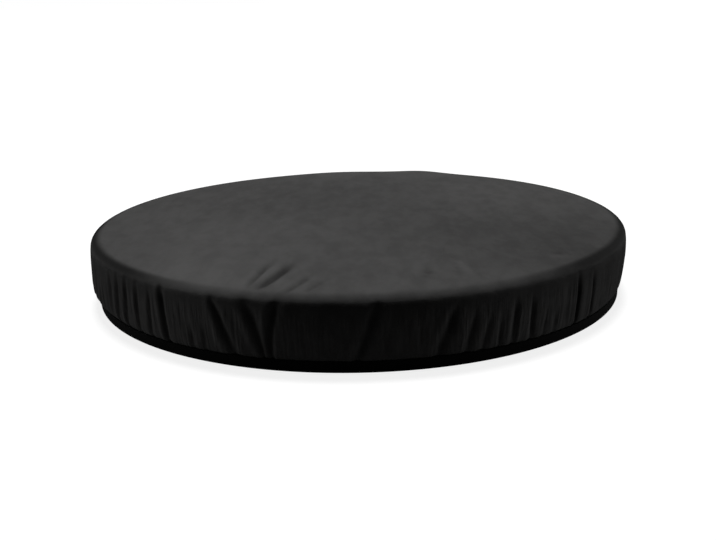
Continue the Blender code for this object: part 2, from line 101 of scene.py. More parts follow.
# %% Sockets that can be calculated with
class Wire:
    """The value on an output socket. Arithmetic with it adds Math nodes to its material."""

    def __init__(self, finish, socket):
        self.finish = finish
        self.socket = socket

    def math(self, operation, *values):
        inputs = dict(enumerate(values))
        return self.finish.node("ShaderNodeMath", {"operation": operation}, inputs)

    def __add__(self, other):
        return self.math("ADD", self, other)

    def __sub__(self, other):
        return self.math("SUBTRACT", self, other)

    def __rsub__(self, other):
        return self.math("SUBTRACT", other, self)

    def __mul__(self, other):
        return self.math("MULTIPLY", self, other)

    __radd__ = __add__
    __rmul__ = __mul__

    def sine(self):
        return self.math("SINE", self)

    def most(self, other):
        return self.math("MAXIMUM", self, other)


def pick(sockets, key):
    """A socket by its number, or the one in use that has this name."""
    if isinstance(key, int):
        return sockets[key]
    return next(socket for socket in sockets if socket.name == key and socket.enabled)


class Nodes:
    """A node tree that is built by calls, each of which returns a wire."""

    def __init__(self, tree):
        self.tree = tree
        self.tree.nodes.clear()

    def node(self, kind, settings=None, inputs=None, output=0):
        node = self.tree.nodes.new(kind)
        for name, value in (settings or {}).items():
            setattr(node, name, value)
        for key, value in (inputs or {}).items():
            socket = pick(node.inputs, key)
            if isinstance(value, Wire):
                self.tree.links.new(value.socket, socket)
            else:
                socket.default_value = value
        return Wire(self, pick(node.outputs, output)) if node.outputs else None

    def position(self):
        return self.node("ShaderNodeTexCoord", output="Object")

    def height(self):
        return self.node("ShaderNodeSeparateXYZ", None, {0: self.position()}, "Z")

    def radius(self):
        """The distance from the upright axis."""
        settings = {"operation": "MULTIPLY"}
        flat = self.node("ShaderNodeVectorMath", settings, {0: self.position(), 1: (1, 1, 0)})
        return self.node("ShaderNodeVectorMath", {"operation": "LENGTH"}, {0: flat}, "Value")

    def shade(self, colour, level):
        """A colour made lighter or darker."""
        colour = colour if isinstance(colour, Wire) else colour[:3]
        return self.node("ShaderNodeVectorMath", {"operation": "SCALE"}, {0: colour, "Scale": level})

    def noise(self, size, detail, rough, place=None):
        """Soft spots of about this size, from 0 to 1, with a mean of a half."""
        inputs = {"Vector": place or self.position(), "Scale": 1 / size}
        inputs.update({"Detail": detail, "Roughness": rough})
        return self.node("ShaderNodeTexNoise", None, inputs, "Fac")

    def cells(self, size, feature="F1"):
        """Distances inside cells of about this size."""
        inputs = {"Vector": self.position(), "Scale": 1 / size}
        return self.node("ShaderNodeTexVoronoi", {"feature": feature}, inputs, "Distance")

    def ranged(self, value, low, high, to_low=0.0, to_high=1.0):
        """The value moved from one range to another, held at both ends."""
        inputs = {0: value, 1: low, 2: high, 3: to_low, 4: to_high}
        return self.node("ShaderNodeMapRange", {"interpolation_type": "SMOOTHSTEP"}, inputs)

    def mix(self, share, first, second):
        """A colour between two colours."""
        inputs = {"Factor": share, "A": first, "B": second}
        return self.node("ShaderNodeMix", {"data_type": "RGBA"}, inputs, "Result")

    def bump(self, height, distance, normal=None):
        """A surface that looks raised by this distance where the height is 1."""
        inputs = {"Height": height, "Distance": distance, "Strength": 1.0}
        if normal:
            inputs["Normal"] = normal
        return self.node("ShaderNodeBump", None, inputs)


def grey(level, warmth=0.0):
    """A colour of this level, a little warmer or cooler than grey."""
    return (level * (1 + warmth), level, level * (1 - warmth), 1)


class Finish(Nodes):
    """A material, whose shader gets its last wires from the shine method."""

    def __init__(self, name):
        self.material = bpy.data.materials.new(name)
        self.material.use_nodes = True
        super().__init__(self.material.node_tree)

    def shine(self, **inputs):
        named = {name.replace("_", " "): value for name, value in inputs.items()}
        surface = self.node("ShaderNodeBsdfPrincipled", None, named)
        self.node("ShaderNodeOutputMaterial", None, {"Surface": surface})
        return self.material


print("a wire and a mix:", Wire.__name__, Nodes.mix.__name__)

# %% [markdown]
# The cushion was lit softly from above, which leaves a black side nearly black, and then cut out
# on white. One wide sun overhead, a little behind the cushion, gives the same even light
# everywhere, on the floor too. Two weak ones, low at the left and the right, draw the gathers and
# lighten the far ends of the side. Below the lamp the table sends some light back up, which
# reaches the hem more than the shoulder. The white is kept out of the light: the camera sees a
# white floor, whose own light lifts its shadow to a pale grey, and all other rays find it dark
# but for the ring around the cushion. The sky is white for the camera and for shines.

# %% Light, sky and floor
SUN_LIGHT = 2.9
SUN_SPREAD = math.radians(16)
SUN_LEAN = (-12, 0, 0)
SIDE_SPREAD = math.radians(30)
LEFT_LIGHT = 0.75
LEFT_LEAN = (80, 0, -101)
RIGHT_LIGHT = 0.95
RIGHT_LEAN = (80, 0, 102)
SKY_FILL = 0.01
FLOOR_NEAR = 0.15
FLOOR_FAR = 0.01
NEAR_ENDS = (230 * MM, 300 * MM)
FLOOR_GLOW = 0.84
FLOOR_PALE = 0.24
FLOOR_SIZE = 60
FLOOR_DROP = 0.2 * MM


def far_lamp(name, energy, spread, lean):
    lamp = bpy.data.lights.new(name, "SUN")
    lamp.energy = energy
    lamp.angle = spread
    holder = bpy.data.objects.new(name, lamp)
    holder.rotation_euler = [math.radians(turn) for turn in lean]
    bpy.context.collection.objects.link(holder)


far_lamp("overhead_light", SUN_LIGHT, SUN_SPREAD, SUN_LEAN)
far_lamp("left_light", LEFT_LIGHT, SIDE_SPREAD, LEFT_LEAN)
far_lamp("right_light", RIGHT_LIGHT, SIDE_SPREAD, RIGHT_LEAN)


def shown(nodes):
    """1 for a ray from the camera, from a shine or through glass, and 0 for any other."""
    kinds = ("Is Camera Ray", "Is Glossy Ray", "Is Transmission Ray")
    rays = [nodes.node("ShaderNodeLightPath", output=kind) for kind in kinds]
    return rays[0].most(rays[1]).most(rays[2])


sky = bpy.data.worlds.new("sky")
sky.use_nodes = True
bpy.context.scene.world = sky
sky_nodes = Nodes(sky.node_tree)
sky_colour = sky_nodes.mix(shown(sky_nodes), grey(SKY_FILL), grey(1.0))
sky_light = sky_nodes.node("ShaderNodeBackground", None, {"Color": sky_colour})
sky_nodes.node("ShaderNodeOutputWorld", None, {"Surface": sky_light})

pale = Finish("pale_floor")
facing = pale.node("ShaderNodeNewGeometry", output="Backfacing")
watched = pale.node("ShaderNodeLightPath", output="Is Camera Ray")
near = 1 - pale.ranged(pale.radius(), *NEAR_ENDS)
bounced = pale.mix(near, grey(FLOOR_FAR), grey(FLOOR_NEAR))
dark = pale.node("ShaderNodeBsdfDiffuse", None, {"Color": bounced})
matte = pale.node("ShaderNodeBsdfDiffuse", None, {"Color": grey(FLOOR_PALE)})
glow = pale.node("ShaderNodeEmission", None, {"Color": grey(FLOOR_GLOW)})
light = pale.node("ShaderNodeAddShader", None, {0: matte, 1: glow})
top = pale.node("ShaderNodeMixShader", None, {0: watched, 1: dark, 2: light})
clear = pale.node("ShaderNodeBsdfTransparent")
seen = pale.node("ShaderNodeMixShader", None, {0: facing, 1: top, 2: clear})
pale.node("ShaderNodeOutputMaterial", None, {"Surface": seen})

bm = bmesh.new()
bmesh.ops.create_grid(bm, x_segments=1, y_segments=1, size=FLOOR_SIZE / 2)
bmesh.ops.translate(bm, verts=bm.verts, vec=(0, 0, -FLOOR_DROP))
floor_mesh = bpy.data.meshes.new("floor")
bm.to_mesh(floor_mesh)
bm.free()
floor_mesh.materials.append(pale.material)
floor = bpy.data.objects.new("floor", floor_mesh)
bpy.context.collection.objects.link(floor)
bpy.context.scene.view_settings.view_transform = "Standard"
print("light on the floor:", round(SUN_LIGHT / math.pi + SKY_FILL, 2))

# %% [markdown]
# Velour is a knit with a short cut pile. Seen along the surface it is lighter, because the ends
# of the pile catch the light, and seen straight on it is nearly black: that is what sheen is for.
# The pile also leans a little differently from place to place, which shows as soft patches that
# run the way the cloth was brushed. Two wide spots are painted light and painted shade: a lighter
# one at the front left and a darker one at the right. Round the side the cloth is drawn into fine
# pleats between the folds. Over the shoulder the colour is darker, a painted shade that is least
# at the front. The folds and creases get painted light on their ridges and painted shade in their
# valleys. The mesh brings an attribute for that, named fold, which is 0 on a ridge and 1 in a
# valley.

# %% Velour
VELOUR_LEVEL = 0.060
VELOUR_PATCH = 26 * MM
VELOUR_CLUMP = 9 * MM
BRUSHED = (1.0, 0.45, 1.0)
# A spot of painted light at the front left and a spot of painted shade at the right, and their reaches
PAINTED_LIGHT_SPOT = (-105 * MM, -155 * MM, 50 * MM)
PAINTED_SHADE_SPOT = (175 * MM, -120 * MM, 50 * MM)
PAINTED_SPOT_REACH = (80 * MM, 160 * MM)
# Where the painted shade over the shoulder lies, and how dark it is from the front to the back
SHOULDER_SHADE_OUT = (191 * MM, 197 * MM)
SHOULDER_SHADE_ABOVE = (42 * MM, 48 * MM)
SHOULDER_SHADE_BACK = (-185 * MM, -125 * MM)
SHOULDER_SHADE_LEVELS = (0.1, 0.9)
PILE_SIZE = 0.55 * MM
PILE_HEIGHT = 0.10 * MM
PLEAT_SIZE = 2.6 * MM
PLEAT_STRETCH = 0.12
GATHERED_RADIUS = 200 * MM
GATHERED_BELOW = (32 * MM, 44 * MM)


def scaled(nodes, vector, factors):
    return nodes.node("ShaderNodeVectorMath", {"operation": "MULTIPLY"}, {0: vector, 1: factors})


def round_the_side(nodes):
    """A place that counts along the ring and only a little up and down, for upright streaks."""
    flat = scaled(nodes, nodes.position(), (1, 1, 0))
    ring = nodes.node("ShaderNodeVectorMath", {"operation": "NORMALIZE"}, {0: flat})
    ring = scaled(nodes, ring, (GATHERED_RADIUS, GATHERED_RADIUS, 0))
    up = scaled(nodes, nodes.position(), (0, 0, PLEAT_STRETCH))
    return nodes.node("ShaderNodeVectorMath", {"operation": "ADD"}, {0: ring, 1: up})


def painted_spot(nodes, middle, reach):
    """1 in the middle of a spot that is painted lighter or darker, and 0 from its reach on."""
    inputs = {0: nodes.position(), 1: middle}
    away = nodes.node("ShaderNodeVectorMath", {"operation": "DISTANCE"}, inputs, "Value")
    return 1 - nodes.ranged(away, 0.0, reach)


def velour():
    cloth = Finish("black_velour")
    brushed = scaled(cloth, cloth.position(), BRUSHED)
    patches = cloth.ranged(cloth.noise(VELOUR_PATCH, 3.0, 0.55, brushed), 0.3, 0.7)
    clumps = cloth.ranged(cloth.noise(VELOUR_CLUMP, 3.0, 0.5, brushed), 0.3, 0.7)
    pile = cloth.noise(PILE_SIZE, 2.0, 0.6)
    height = cloth.height()
    side = 1 - cloth.ranged(height, *GATHERED_BELOW)
    pleats = cloth.ranged(cloth.noise(PLEAT_SIZE, 2.0, 0.5, round_the_side(cloth)), 0.3, 0.7) * side
    back = cloth.node("ShaderNodeSeparateXYZ", None, {0: cloth.position()}, "Y")
    # Painted shade over the shoulder, darkest at the far ends and least at the front
    shoulder_shade = cloth.ranged(cloth.radius(), *SHOULDER_SHADE_OUT) * cloth.ranged(height, *SHOULDER_SHADE_ABOVE)
    shoulder_shade *= cloth.ranged(back, *SHOULDER_SHADE_BACK, *SHOULDER_SHADE_LEVELS)
    # The fold attribute is painted shade: darker in valleys and creases, lighter on ridges
    fold = cloth.node("ShaderNodeAttribute", {"attribute_name": "fold"}, output="Fac")
    level = 0.78 + patches * 0.08 + clumps * 0.14 + pile * 0.2 - fold * 0.6 + pleats * 0.12
    # A painted light spot at the front left and a painted shade spot at the right
    level += painted_spot(cloth, PAINTED_LIGHT_SPOT, PAINTED_SPOT_REACH[0]) * 0.2 - painted_spot(cloth, PAINTED_SHADE_SPOT, PAINTED_SPOT_REACH[1]) * 0.27
    level *= 1 - shoulder_shade
    lean = cloth.bump(patches, 0.25 * MM)
    tufts = cloth.bump(clumps, 0.15 * MM, normal=lean)
    drawn = cloth.bump(pleats, 0.28 * MM, normal=tufts)
    return cloth.shine(
        Base_Color=cloth.shade(grey(VELOUR_LEVEL, 0.01), level.most(0.1)),
        Roughness=0.9 - clumps * 0.08,
        Specular_IOR_Level=0.0,
        Sheen_Weight=0.04,
        Sheen_Roughness=0.67,
        Sheen_Tint=grey(1.0, 0.004),
        Normal=cloth.bump(pile, PILE_HEIGHT, normal=drawn),
    )


black_velour = velour()
print("made", black_velour.name)

# %% [markdown]
# The elastic is a narrow braid with ridges along its length, and the foam a cut block of open
# cells. Both are hidden once the cover is on. The braid's pattern follows the ring, so it reads
# the distance from the middle for its ridges and the piece's own map for the threads along it.
# The foam's cells come from a pattern of cells in space, which is what foam is.

# %% Elastic and foam
BRAID_RIDGES = 7
BRAID_PITCH = 0.9 * MM
ELASTIC_LEVEL = 0.022
FOAM_GREY = (0.20, 0.205, 0.225, 1)
FOAM_SHADE = (0.11, 0.112, 0.125, 1)
FOAM_CELL = 1.1 * MM


def braided_elastic():
    braid = Finish("braided_elastic")
    place = braid.node("ShaderNodeUVMap", {"uv_map": "braid"})
    parts = [braid.node("ShaderNodeSeparateXYZ", None, {0: place}, name) for name in ("X", "Y")]
    across = (parts[1] * (math.tau * BRAID_RIDGES)).sine() * 0.5 + 0.5
    threads = ((parts[0] + parts[1] * 2.0) * math.tau).sine() * 0.5 + 0.5
    fuzz = braid.noise(0.4 * MM, 2.0, 0.6)
    height = across * 0.7 + threads * 0.3
    return braid.shine(
        Base_Color=braid.shade(grey(ELASTIC_LEVEL), 0.6 + height * 0.5 + fuzz * 0.2),
        Roughness=0.85 - across * 0.15,
        Specular_IOR_Level=0.3,
        Normal=braid.bump(height, 0.12 * MM, normal=braid.bump(fuzz, 0.03 * MM)),
    )


def open_foam():
    foam = Finish("open_foam")
    wall = foam.ranged(foam.cells(FOAM_CELL, "DISTANCE_TO_EDGE"), 0.0, 0.16)
    hole = foam.ranged(foam.cells(FOAM_CELL * 2.3), 0.1, 0.35)
    cloud = foam.noise(40 * MM, 2.0, 0.5)
    depth = 1 - wall * 0.6 - hole * 0.2
    return foam.shine(
        Base_Color=foam.shade(foam.mix(wall, FOAM_GREY, FOAM_SHADE), 0.85 + cloud * 0.3),
        Roughness=0.95 - wall * 0.05,
        Specular_IOR_Level=0.2,
        Normal=foam.bump(depth, 0.5 * MM),
    )


black_braid = braided_elastic()
grey_foam = open_foam()
print("made", black_braid.name, "and", grey_foam.name)

# %% [markdown]
# Both plates are moulded in black plastic. The mould was sparked to a fine matte texture, which
# hides flow marks and small scratches. The rim of the base is dragged over seats, so its lowest
# edge is a little smoother and greyer in places, and dust sits in the texture elsewhere. The
# scuffs only lie where the height and the radius say that the edge is, broken up by noise.

# %% Moulded plastic, nylon and rubber
PLASTIC_LEVEL = 0.004
SPARK_GRAIN = 0.35 * MM
SCUFF_REACH = 1.1 * MM
base_low, base_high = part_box("base_plate")
BASE_RADIUS = base_high.x
NYLON_WHITE = (0.72, 0.71, 0.655, 1)
RUBBER_LEVEL = 0.018


def moulded_plastic():
    plastic = Finish("sparked_plastic")
    grain = plastic.noise(SPARK_GRAIN, 3.0, 0.7)
    flow = plastic.noise(60 * MM, 2.0, 0.5)
    marks = plastic.ranged(plastic.noise(3.0 * MM, 4.0, 0.7), 0.5, 0.62)
    radius, height = plastic.radius(), plastic.height()
    outer = plastic.ranged(radius, BASE_RADIUS - SCUFF_REACH, BASE_RADIUS - 0.2 * MM)
    low = 1 - plastic.ranged(height, base_low.z, base_low.z + SCUFF_REACH)
    scuff = outer * low * marks
    return plastic.shine(
        Base_Color=plastic.shade(grey(PLASTIC_LEVEL), 0.75 + flow * 0.3 + grain * 0.2 + scuff * 0.9),
        Roughness=0.8 + grain * 0.12 - scuff * 0.25,
        Specular_IOR_Level=0.02,
        Normal=plastic.bump(grain, 0.035 * MM),
    )


def turned_nylon():
    nylon = Finish("turned_nylon")
    cloud = nylon.noise(12 * MM, 3.0, 0.6)
    lines = (nylon.radius() * (math.tau / (0.35 * MM))).sine() * 0.5 + 0.5
    grease = nylon.ranged(nylon.noise(5 * MM, 3.0, 0.6), 0.5, 0.66)
    return nylon.shine(
        Base_Color=nylon.shade(NYLON_WHITE, 0.9 + cloud * 0.16 - grease * 0.12),
        Roughness=0.42 - grease * 0.2,
        Specular_IOR_Level=0.45,
        Subsurface_Weight=0.05,
        Normal=nylon.bump(lines, 0.012 * MM, normal=nylon.bump(cloud, 0.05 * MM)),
    )


def pad_rubber():
    rubber = Finish("pad_rubber")
    grain = rubber.noise(0.3 * MM, 3.0, 0.7)
    bloom = rubber.ranged(rubber.noise(9 * MM, 4.0, 0.65), 0.45, 0.7)
    dust = rubber.ranged(rubber.noise(1.6 * MM, 3.0, 0.7), 0.55, 0.7)
    return rubber.shine(
        Base_Color=rubber.shade(grey(RUBBER_LEVEL, 0.03), 0.8 + bloom * 0.7 + dust * 0.5),
        Roughness=0.78 + bloom * 0.15,
        Specular_IOR_Level=0.35,
        Normal=rubber.bump(grain, 0.05 * MM),
    )


black_plastic = moulded_plastic()
white_nylon = turned_nylon()
black_rubber = pad_rubber()
print("made", black_plastic.name, white_nylon.name, "and", black_rubber.name)

# %% [markdown]
# The bolt, its washer and its nut are zinc plated: a soft grey shine, faintly blue and yellow in
# patches, with the rings of the tool still under it. The balls are ground and polished, so they
# only carry hairlines and a film of grease. Metal takes its whole look from what it mirrors, so
# its base colour is its mirror colour and the patterns go mostly to the roughness.

# %% Steel
ZINC = (0.60, 0.61, 0.63, 1)
ZINC_YELLOW = (0.62, 0.59, 0.50, 1)
BALL_STEEL = (0.66, 0.655, 0.65, 1)


def zinc_plate():
    zinc = Finish("zinc_plate")
    patch = zinc.ranged(zinc.noise(7 * MM, 3.0, 0.6), 0.35, 0.7)
    crystal = zinc.noise(0.5 * MM, 3.0, 0.7)
    rings = (zinc.radius() * (math.tau / (0.28 * MM))).sine() * 0.5 + 0.5
    return zinc.shine(
        Base_Color=zinc.shade(zinc.mix(patch, ZINC, ZINC_YELLOW), 0.85 + crystal * 0.2),
        Metallic=1.0,
        Roughness=0.26 + crystal * 0.16 + patch * 0.08,
        Normal=zinc.bump(rings, 0.008 * MM, normal=zinc.bump(crystal, 0.01 * MM)),
    )


def polished_ball():
    ball = Finish("polished_ball_steel")
    film = ball.ranged(ball.noise(2.5 * MM, 3.0, 0.6), 0.45, 0.65)
    hairline = ball.noise(0.12 * MM, 2.0, 0.7)
    return ball.shine(
        Base_Color=ball.shade(BALL_STEEL, 0.92 + film * 0.08),
        Metallic=1.0,
        Roughness=0.09 + film * 0.12 + hairline * 0.03,
        Normal=ball.bump(hairline, 0.002 * MM),
    )


plated_steel = zinc_plate()
ball_steel = polished_ball()
print("made", plated_steel.name, "and", ball_steel.name)

# %% [markdown]
# Every new piece starts as a bmesh, and what is finished is put in the scene at the origin with
# its place in its mesh. Most pieces here are round, so an outline of radius and height is turned
# about the upright axis by the spin operator, which is how a lathe or a round mould shapes them.
# A long outline with many steps turns slowly in one go, so a wedge is turned first and then copied.

# %% From an outline to a round piece
MOST_WEDGES = 20
WELDED = 0.002 * MM


def put(name, bm, material, body, slot, smooth):
    """The piece of this bmesh on a body; the slot is not used. Corners over the smooth angle stay sharp.
    """
    mesh = bpy.data.meshes.new(name)
    bm.to_mesh(mesh)
    bm.free()
    mesh.materials.append(material)
    mesh.shade_smooth()
    if smooth < 180:
        mesh.set_sharp_from_angle(angle=math.radians(smooth))
    piece = bpy.data.objects.new(name, mesh)
    bpy.context.collection.objects.link(piece)
    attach(piece, body)
    return piece


def turned(bm, drawn, steps):
    """Turns what is drawn about the upright axis, and closes the result."""
    wedges = math.gcd(steps, MOST_WEDGES)
    upright = {"cent": (0, 0, 0), "axis": (0, 0, 1)}
    wedge = {"angle": math.tau / wedges, "steps": steps // wedges}
    bmesh.ops.spin(bm, geom=drawn, **wedge, **upright)
    if wedges > 1:
        whole = [*bm.verts, *bm.edges, *bm.faces]
        rest = {"angle": math.tau * (wedges - 1) / wedges, "steps": wedges - 1}
        bmesh.ops.spin(bm, geom=whole, use_duplicate=True, **rest, **upright)
    bmesh.ops.remove_doubles(bm, verts=bm.verts, dist=WELDED)
    bmesh.ops.recalc_face_normals(bm, faces=bm.faces)


def spun(outline, steps):
    """An outline of (radius, height) points turned about the upright axis, as a closed piece."""
    bm = bmesh.new()
    points = [bm.verts.new((radius, 0, height)) for radius, height in outline]
    ends = list(zip(points, points[1:]))
    if outline[0][0] > 0:
        ends.append((points[-1], points[0]))
    lines = [bm.edges.new(pair) for pair in ends]
    turned(bm, points + lines, steps)
    return bm


def through(points, steps):
    """A smooth line through the points, with a count of steps from each to the next."""
    line = []
    for k, count in enumerate(steps):
        before, start, end, after = (
            np.array(points[min(max(n, 0), len(points) - 1)], float) for n in range(k - 1, k + 3)
        )
        for share in np.arange(count) / count:
            bend = (2 * before - 5 * start + 4 * end - after) * share**2
            twist = (3 * start - before - 3 * end + after) * share**3
            line.append(start + ((end - before) * share + bend + twist) / 2)
    return [tuple(point) for point in line] + [tuple(points[-1])]


print("helpers:", put.__name__, spun.__name__, through.__name__)

# %% [markdown]
# The cover is one round cut of cloth, drawn down over the pad and in under the turntable by
# elastic. A turned surface gives its mean form: a crown that hardly rises, a tight shoulder, a
# side that swells to its widest a third of the way down, and a hem that turns under and back over
# the elastic. The outline is a smooth line through a few measured points.

# %% The cover's outline
COVER_TOP = solid_box[1].z
CROWN_RISE = 1.5 * MM
CROWN_EDGE = 186 * MM
CROWN_REACH = 193.5 * MM
CROWN_POWER = 2.4
CROWN_ROWS = (0, 40, 75, 99, 112, 123, 133, 143, 152, 160, 168, 175, 181)
CLOTH = 0.7 * MM
HEM_UNDERSIDE = 8.2 * MM
SIDE_LINE = (
    (193.6, 49.5),
    (196.8, 48.5),
    (199.0, 46.2),
    (199.8, 42.8),
    (200.0, 36.0),
    (199.8, 29.0),
    (199.0, 21.0),
    (198.1, 14.0),
    (197.3, 10.4),
    (195.8, 8.5),
)
SIDE_STEPS = (2, 2, 2, 3, 3, 3, 3, 2, 2)
HEM_LINE = (
    (193.4, 8.2),
    (189.0, 8.2),
    (184.0, 8.2),
    (179.6, 8.2),
    (178.3, 9.5),
    (179.6, 10.8),
    (186.4, 10.8),
    (187.6, 9.9),
    (189.0, 9.3),
)
COVER_STEPS = 1060


def crown_height(radius):
    """The height of the cushion's top at a radius."""
    return COVER_TOP - CROWN_RISE * (radius / CROWN_REACH) ** CROWN_POWER


def in_metres(line):
    return [(radius * MM, height * MM) for radius, height in line]


crown = [(row * MM, crown_height(row * MM)) for row in CROWN_ROWS]
crown.append((CROWN_EDGE, crown_height(CROWN_EDGE)))
side = through([crown[-1], *in_metres(SIDE_LINE)], (2, *SIDE_STEPS))
cover_outline = crown + side[1:] + in_metres(HEM_LINE)
print("rows on the cover:", len(cover_outline))

# %% [markdown]
# Gathers are where the round cut has more cloth than the pad has edge. Each one starts
# somewhere on the side, deepens down to the hem and leans a little, and no two are alike. So each
# is a valley with its own place, lean, start, width and depth, drawn from a seeded random source
# so that every run makes the same cover. The ones that stand out in the photograph are listed, and
# in front of the pad, where the cloth is smoother, the random ones are held back.

# %% Gathers
GATHER_SEED = 7
GATHERS = 130
FINE_GATHERS = 280
DEEPEST_FOLD = 2.8 * MM
# Degrees to the right of the front at the shoulder, half way down and at the hem, then the half
# width above and below, the depth in millimetres and the share of the way down where it starts
SEEN_FOLDS = (
    (-55.6, -55.7, -56.2, 0.45, 0.50, 1.3, 0.08),
    (-52.0, -52.4, -53.4, 0.45, 0.50, 1.4, 0.05),
    (-48.4, -49.0, -49.9, 0.42, 0.45, 1.4, 0.05),
    (-44.8, -45.1, -45.8, 0.42, 0.45, 1.5, 0.05),
    (-40.9, -41.2, -41.9, 0.40, 0.45, 1.3, 0.10),
    (-37.9, -37.6, -37.4, 0.55, 0.55, 2.6, 0.00),
    (-30.9, -31.0, -31.2, 0.40, 0.45, 1.0, 0.50),
    (-28.3, -28.3, -28.5, 0.35, 0.45, 1.0, 0.45),
    (-27.0, -24.6, -22.5, 0.50, 0.90, 2.0, 0.02),
    (-20.4, -18.2, -16.9, 1.10, 0.50, 1.9, 0.02),
    (-13.4, -15.3, -15.5, 0.85, 0.42, 2.3, 0.00),
    (3.4, 1.6, -0.6, 0.75, 0.60, 1.8, 0.02),
    (17.6, 15.4, 13.6, 0.60, 1.00, 1.6, 0.12),
    (20.6, 19.7, 18.6, 0.50, 0.65, 1.1, 0.25),
    (23.5, 22.8, 21.7, 0.45, 0.60, 1.1, 0.30),
    (25.6, 25.2, 24.9, 0.40, 0.45, 0.9, 0.45),
    (28.1, 28.0, 27.9, 0.45, 0.55, 1.3, 0.20),
    (31.6, 31.8, 32.0, 0.45, 0.55, 1.5, 0.18),
    (35.4, 35.2, 35.0, 0.40, 0.40, 0.9, 0.45),
    (38.2, 38.0, 37.6, 0.40, 0.40, 0.9, 0.50),
    (44.0, 44.1, 44.2, 0.50, 0.50, 2.6, 0.08),
    (49.0, 49.3, 49.6, 0.45, 0.50, 1.6, 0.12),
)
# From and to in the same degrees, and how much of the random gathers is left between them
CALM_SPANS = (
    (-57.5, -43.0, 0.45),
    (-43.0, -13.0, 0.25),
    (-13.0, 3.0, 0.15),
    (3.0, 13.0, 0.2),
    (13.0, 52.0, 0.2),
    (52.0, 85.0, 0.4),
)
SEEN_AT_HEM = 0.45
RANDOM_AT_HEM = 0.12


def calm(azimuth):
    """How much of a random gather is left at this place."""
    for low, high, left in CALM_SPANS:
        if low < azimuth < high:
            return left
    return 1.0


def random_gathers():
    """The gathers that no one would list: one row that is long and one that is short and fine."""
    source = np.random.default_rng(GATHER_SEED)
    rows = []
    for count, starts, depths, width in ((GATHERS, (0.02, 0.5), (0.4, 1.5), 0.5),
                                         (FINE_GATHERS, (0.3, 0.75), (0.15, 0.5), 0.32)):
        for k in range(count):
            azimuth = 360 * (k + source.uniform(-0.38, 0.38)) / count - 180
            lean = source.normal(0, 0.8)
            start = source.uniform(*starts)
            depth = source.uniform(*depths) * calm(azimuth)
            half_way = azimuth + lean / 2 + source.normal(0, 0.2)
            above, below = width * source.uniform(0.7, 1.4, 2)
            rows.append((azimuth + lean, half_way, azimuth, above, below, depth, start))
    return rows


def smooth_step(value):
    held = np.clip(value, 0, 1)
    return held * held * (3 - 2 * held)


def fold_depth(azimuth, share):
    """How deep the cloth lies in its folds. The share is 0 at the shoulder and 1 at the hem."""
    depth = np.zeros_like(azimuth)
    held = np.clip(share, -0.1, 1.1)
    rows = [(fold, SEEN_AT_HEM) for fold in SEEN_FOLDS]
    rows += [(fold, RANDOM_AT_HEM) for fold in random_gathers()]
    for (high, half_way, low, above, below, deep, start), at_hem in rows:
        middle = high * (1 - held) * (1 - 2 * held) + half_way * 4 * held * (1 - held)
        middle += low * held * (2 * held - 1)
        apart = (azimuth - middle + 180) % 360 - 180
        apart /= above + (below - above) * held
        near = np.abs(apart) < 6
        aside, down = apart[near], share[near]
        rise = smooth_step((down - start) / 0.35)
        rise *= 1 - (1 - at_hem) * smooth_step((down - 0.78) / 0.24)
        valley = np.exp(-(np.abs(aside) ** 1.6))
        crest = np.exp(-(((aside + 2.0) / 1.1) ** 2)) + 0.4 * np.exp(-(((aside - 2.0) / 1.1) ** 2))
        depth[near] += deep * MM * rise * (valley - 0.28 * crest)
    return DEEPEST_FOLD * np.tanh(depth / DEEPEST_FOLD)


print("folds:", len(SEEN_FOLDS) + len(random_gathers()))

# %% [markdown]
# A few creases cross the top where the cloth was pulled over the shoulder. The far edge stands up
# a little, and the side hangs fuller in three places. They are kept apart from the gathers, because
# they don't follow the turn. Each crease is a soft valley along a line on the top, with a low
# ridge on both sides, and each swell a low round hill.

# %% Creases and swells
# From and to in millimetres to the right and to the back, then half width and depth
CREASES = (
    (-41, -130, -60, -181, 3.3, 1.9),
    (-57, -128, -66, -178, 2.4, 1.1),
    (-28, -156, -44, -191, 2.2, 0.9),
    (-18, -164, -32, -190, 1.6, 0.5),
    (112, -137, 132, -120, 1.6, 0.6),
    (106, -130, 140, -112, 1.5, 0.5),
    (64, -132, 68, -166, 2.6, -0.7),
    (38, -166, 44, -148, 3.0, 0.8),
)
# Place in the same millimetres, then reach and rise
SWELLS = (
    (62, 186, 24, 1.5),
    (-20, 190, 34, 0.5),
    (-90, -60, 60, 0.35),
    (70, -40, 70, -0.3),
    (-30, 70, 60, -0.25),
    (110, 90, 50, 0.3),
)
# Degrees to the right of the front and share of the way down, the reach of both, then the rise
SIDE_SWELLS = (
    (-70, 0.85, 24, 0.30, 1.8),
    (112, 0.55, 24, 0.35, 0.8),
    (-150, 0.60, 30, 0.35, 0.8),
)


def crease_depth(x, y):
    """How far the top lies below its mean form, in metres, at places given in metres."""
    depth = np.zeros_like(x)
    for x0, y0, x1, y1, width, deep in CREASES:
        start = np.array((x0, y0)) * MM
        run = np.array((x1 - x0, y1 - y0)) * MM
        length = np.hypot(*run)
        along = ((x - start[0]) * run[0] + (y - start[1]) * run[1]) / length**2
        aside = ((x - start[0]) * run[1] - (y - start[1]) * run[0]) / length / (width * MM)
        fade = smooth_step(along / 0.5 + 0.2) * smooth_step((1.15 - along) / 0.45)
        valley = np.exp(-(np.abs(aside) ** 1.6))
        ridge = np.exp(-((aside - 2.0) ** 2)) + 0.6 * np.exp(-((aside + 2.0) ** 2))
        depth += deep * MM * fade * (valley - 0.3 * ridge)
    for x0, y0, reach, rise in SWELLS:
        apart = np.hypot(x - x0 * MM, y - y0 * MM) / (reach * MM)
        depth -= rise * MM * np.exp(-(apart**2))
    return depth


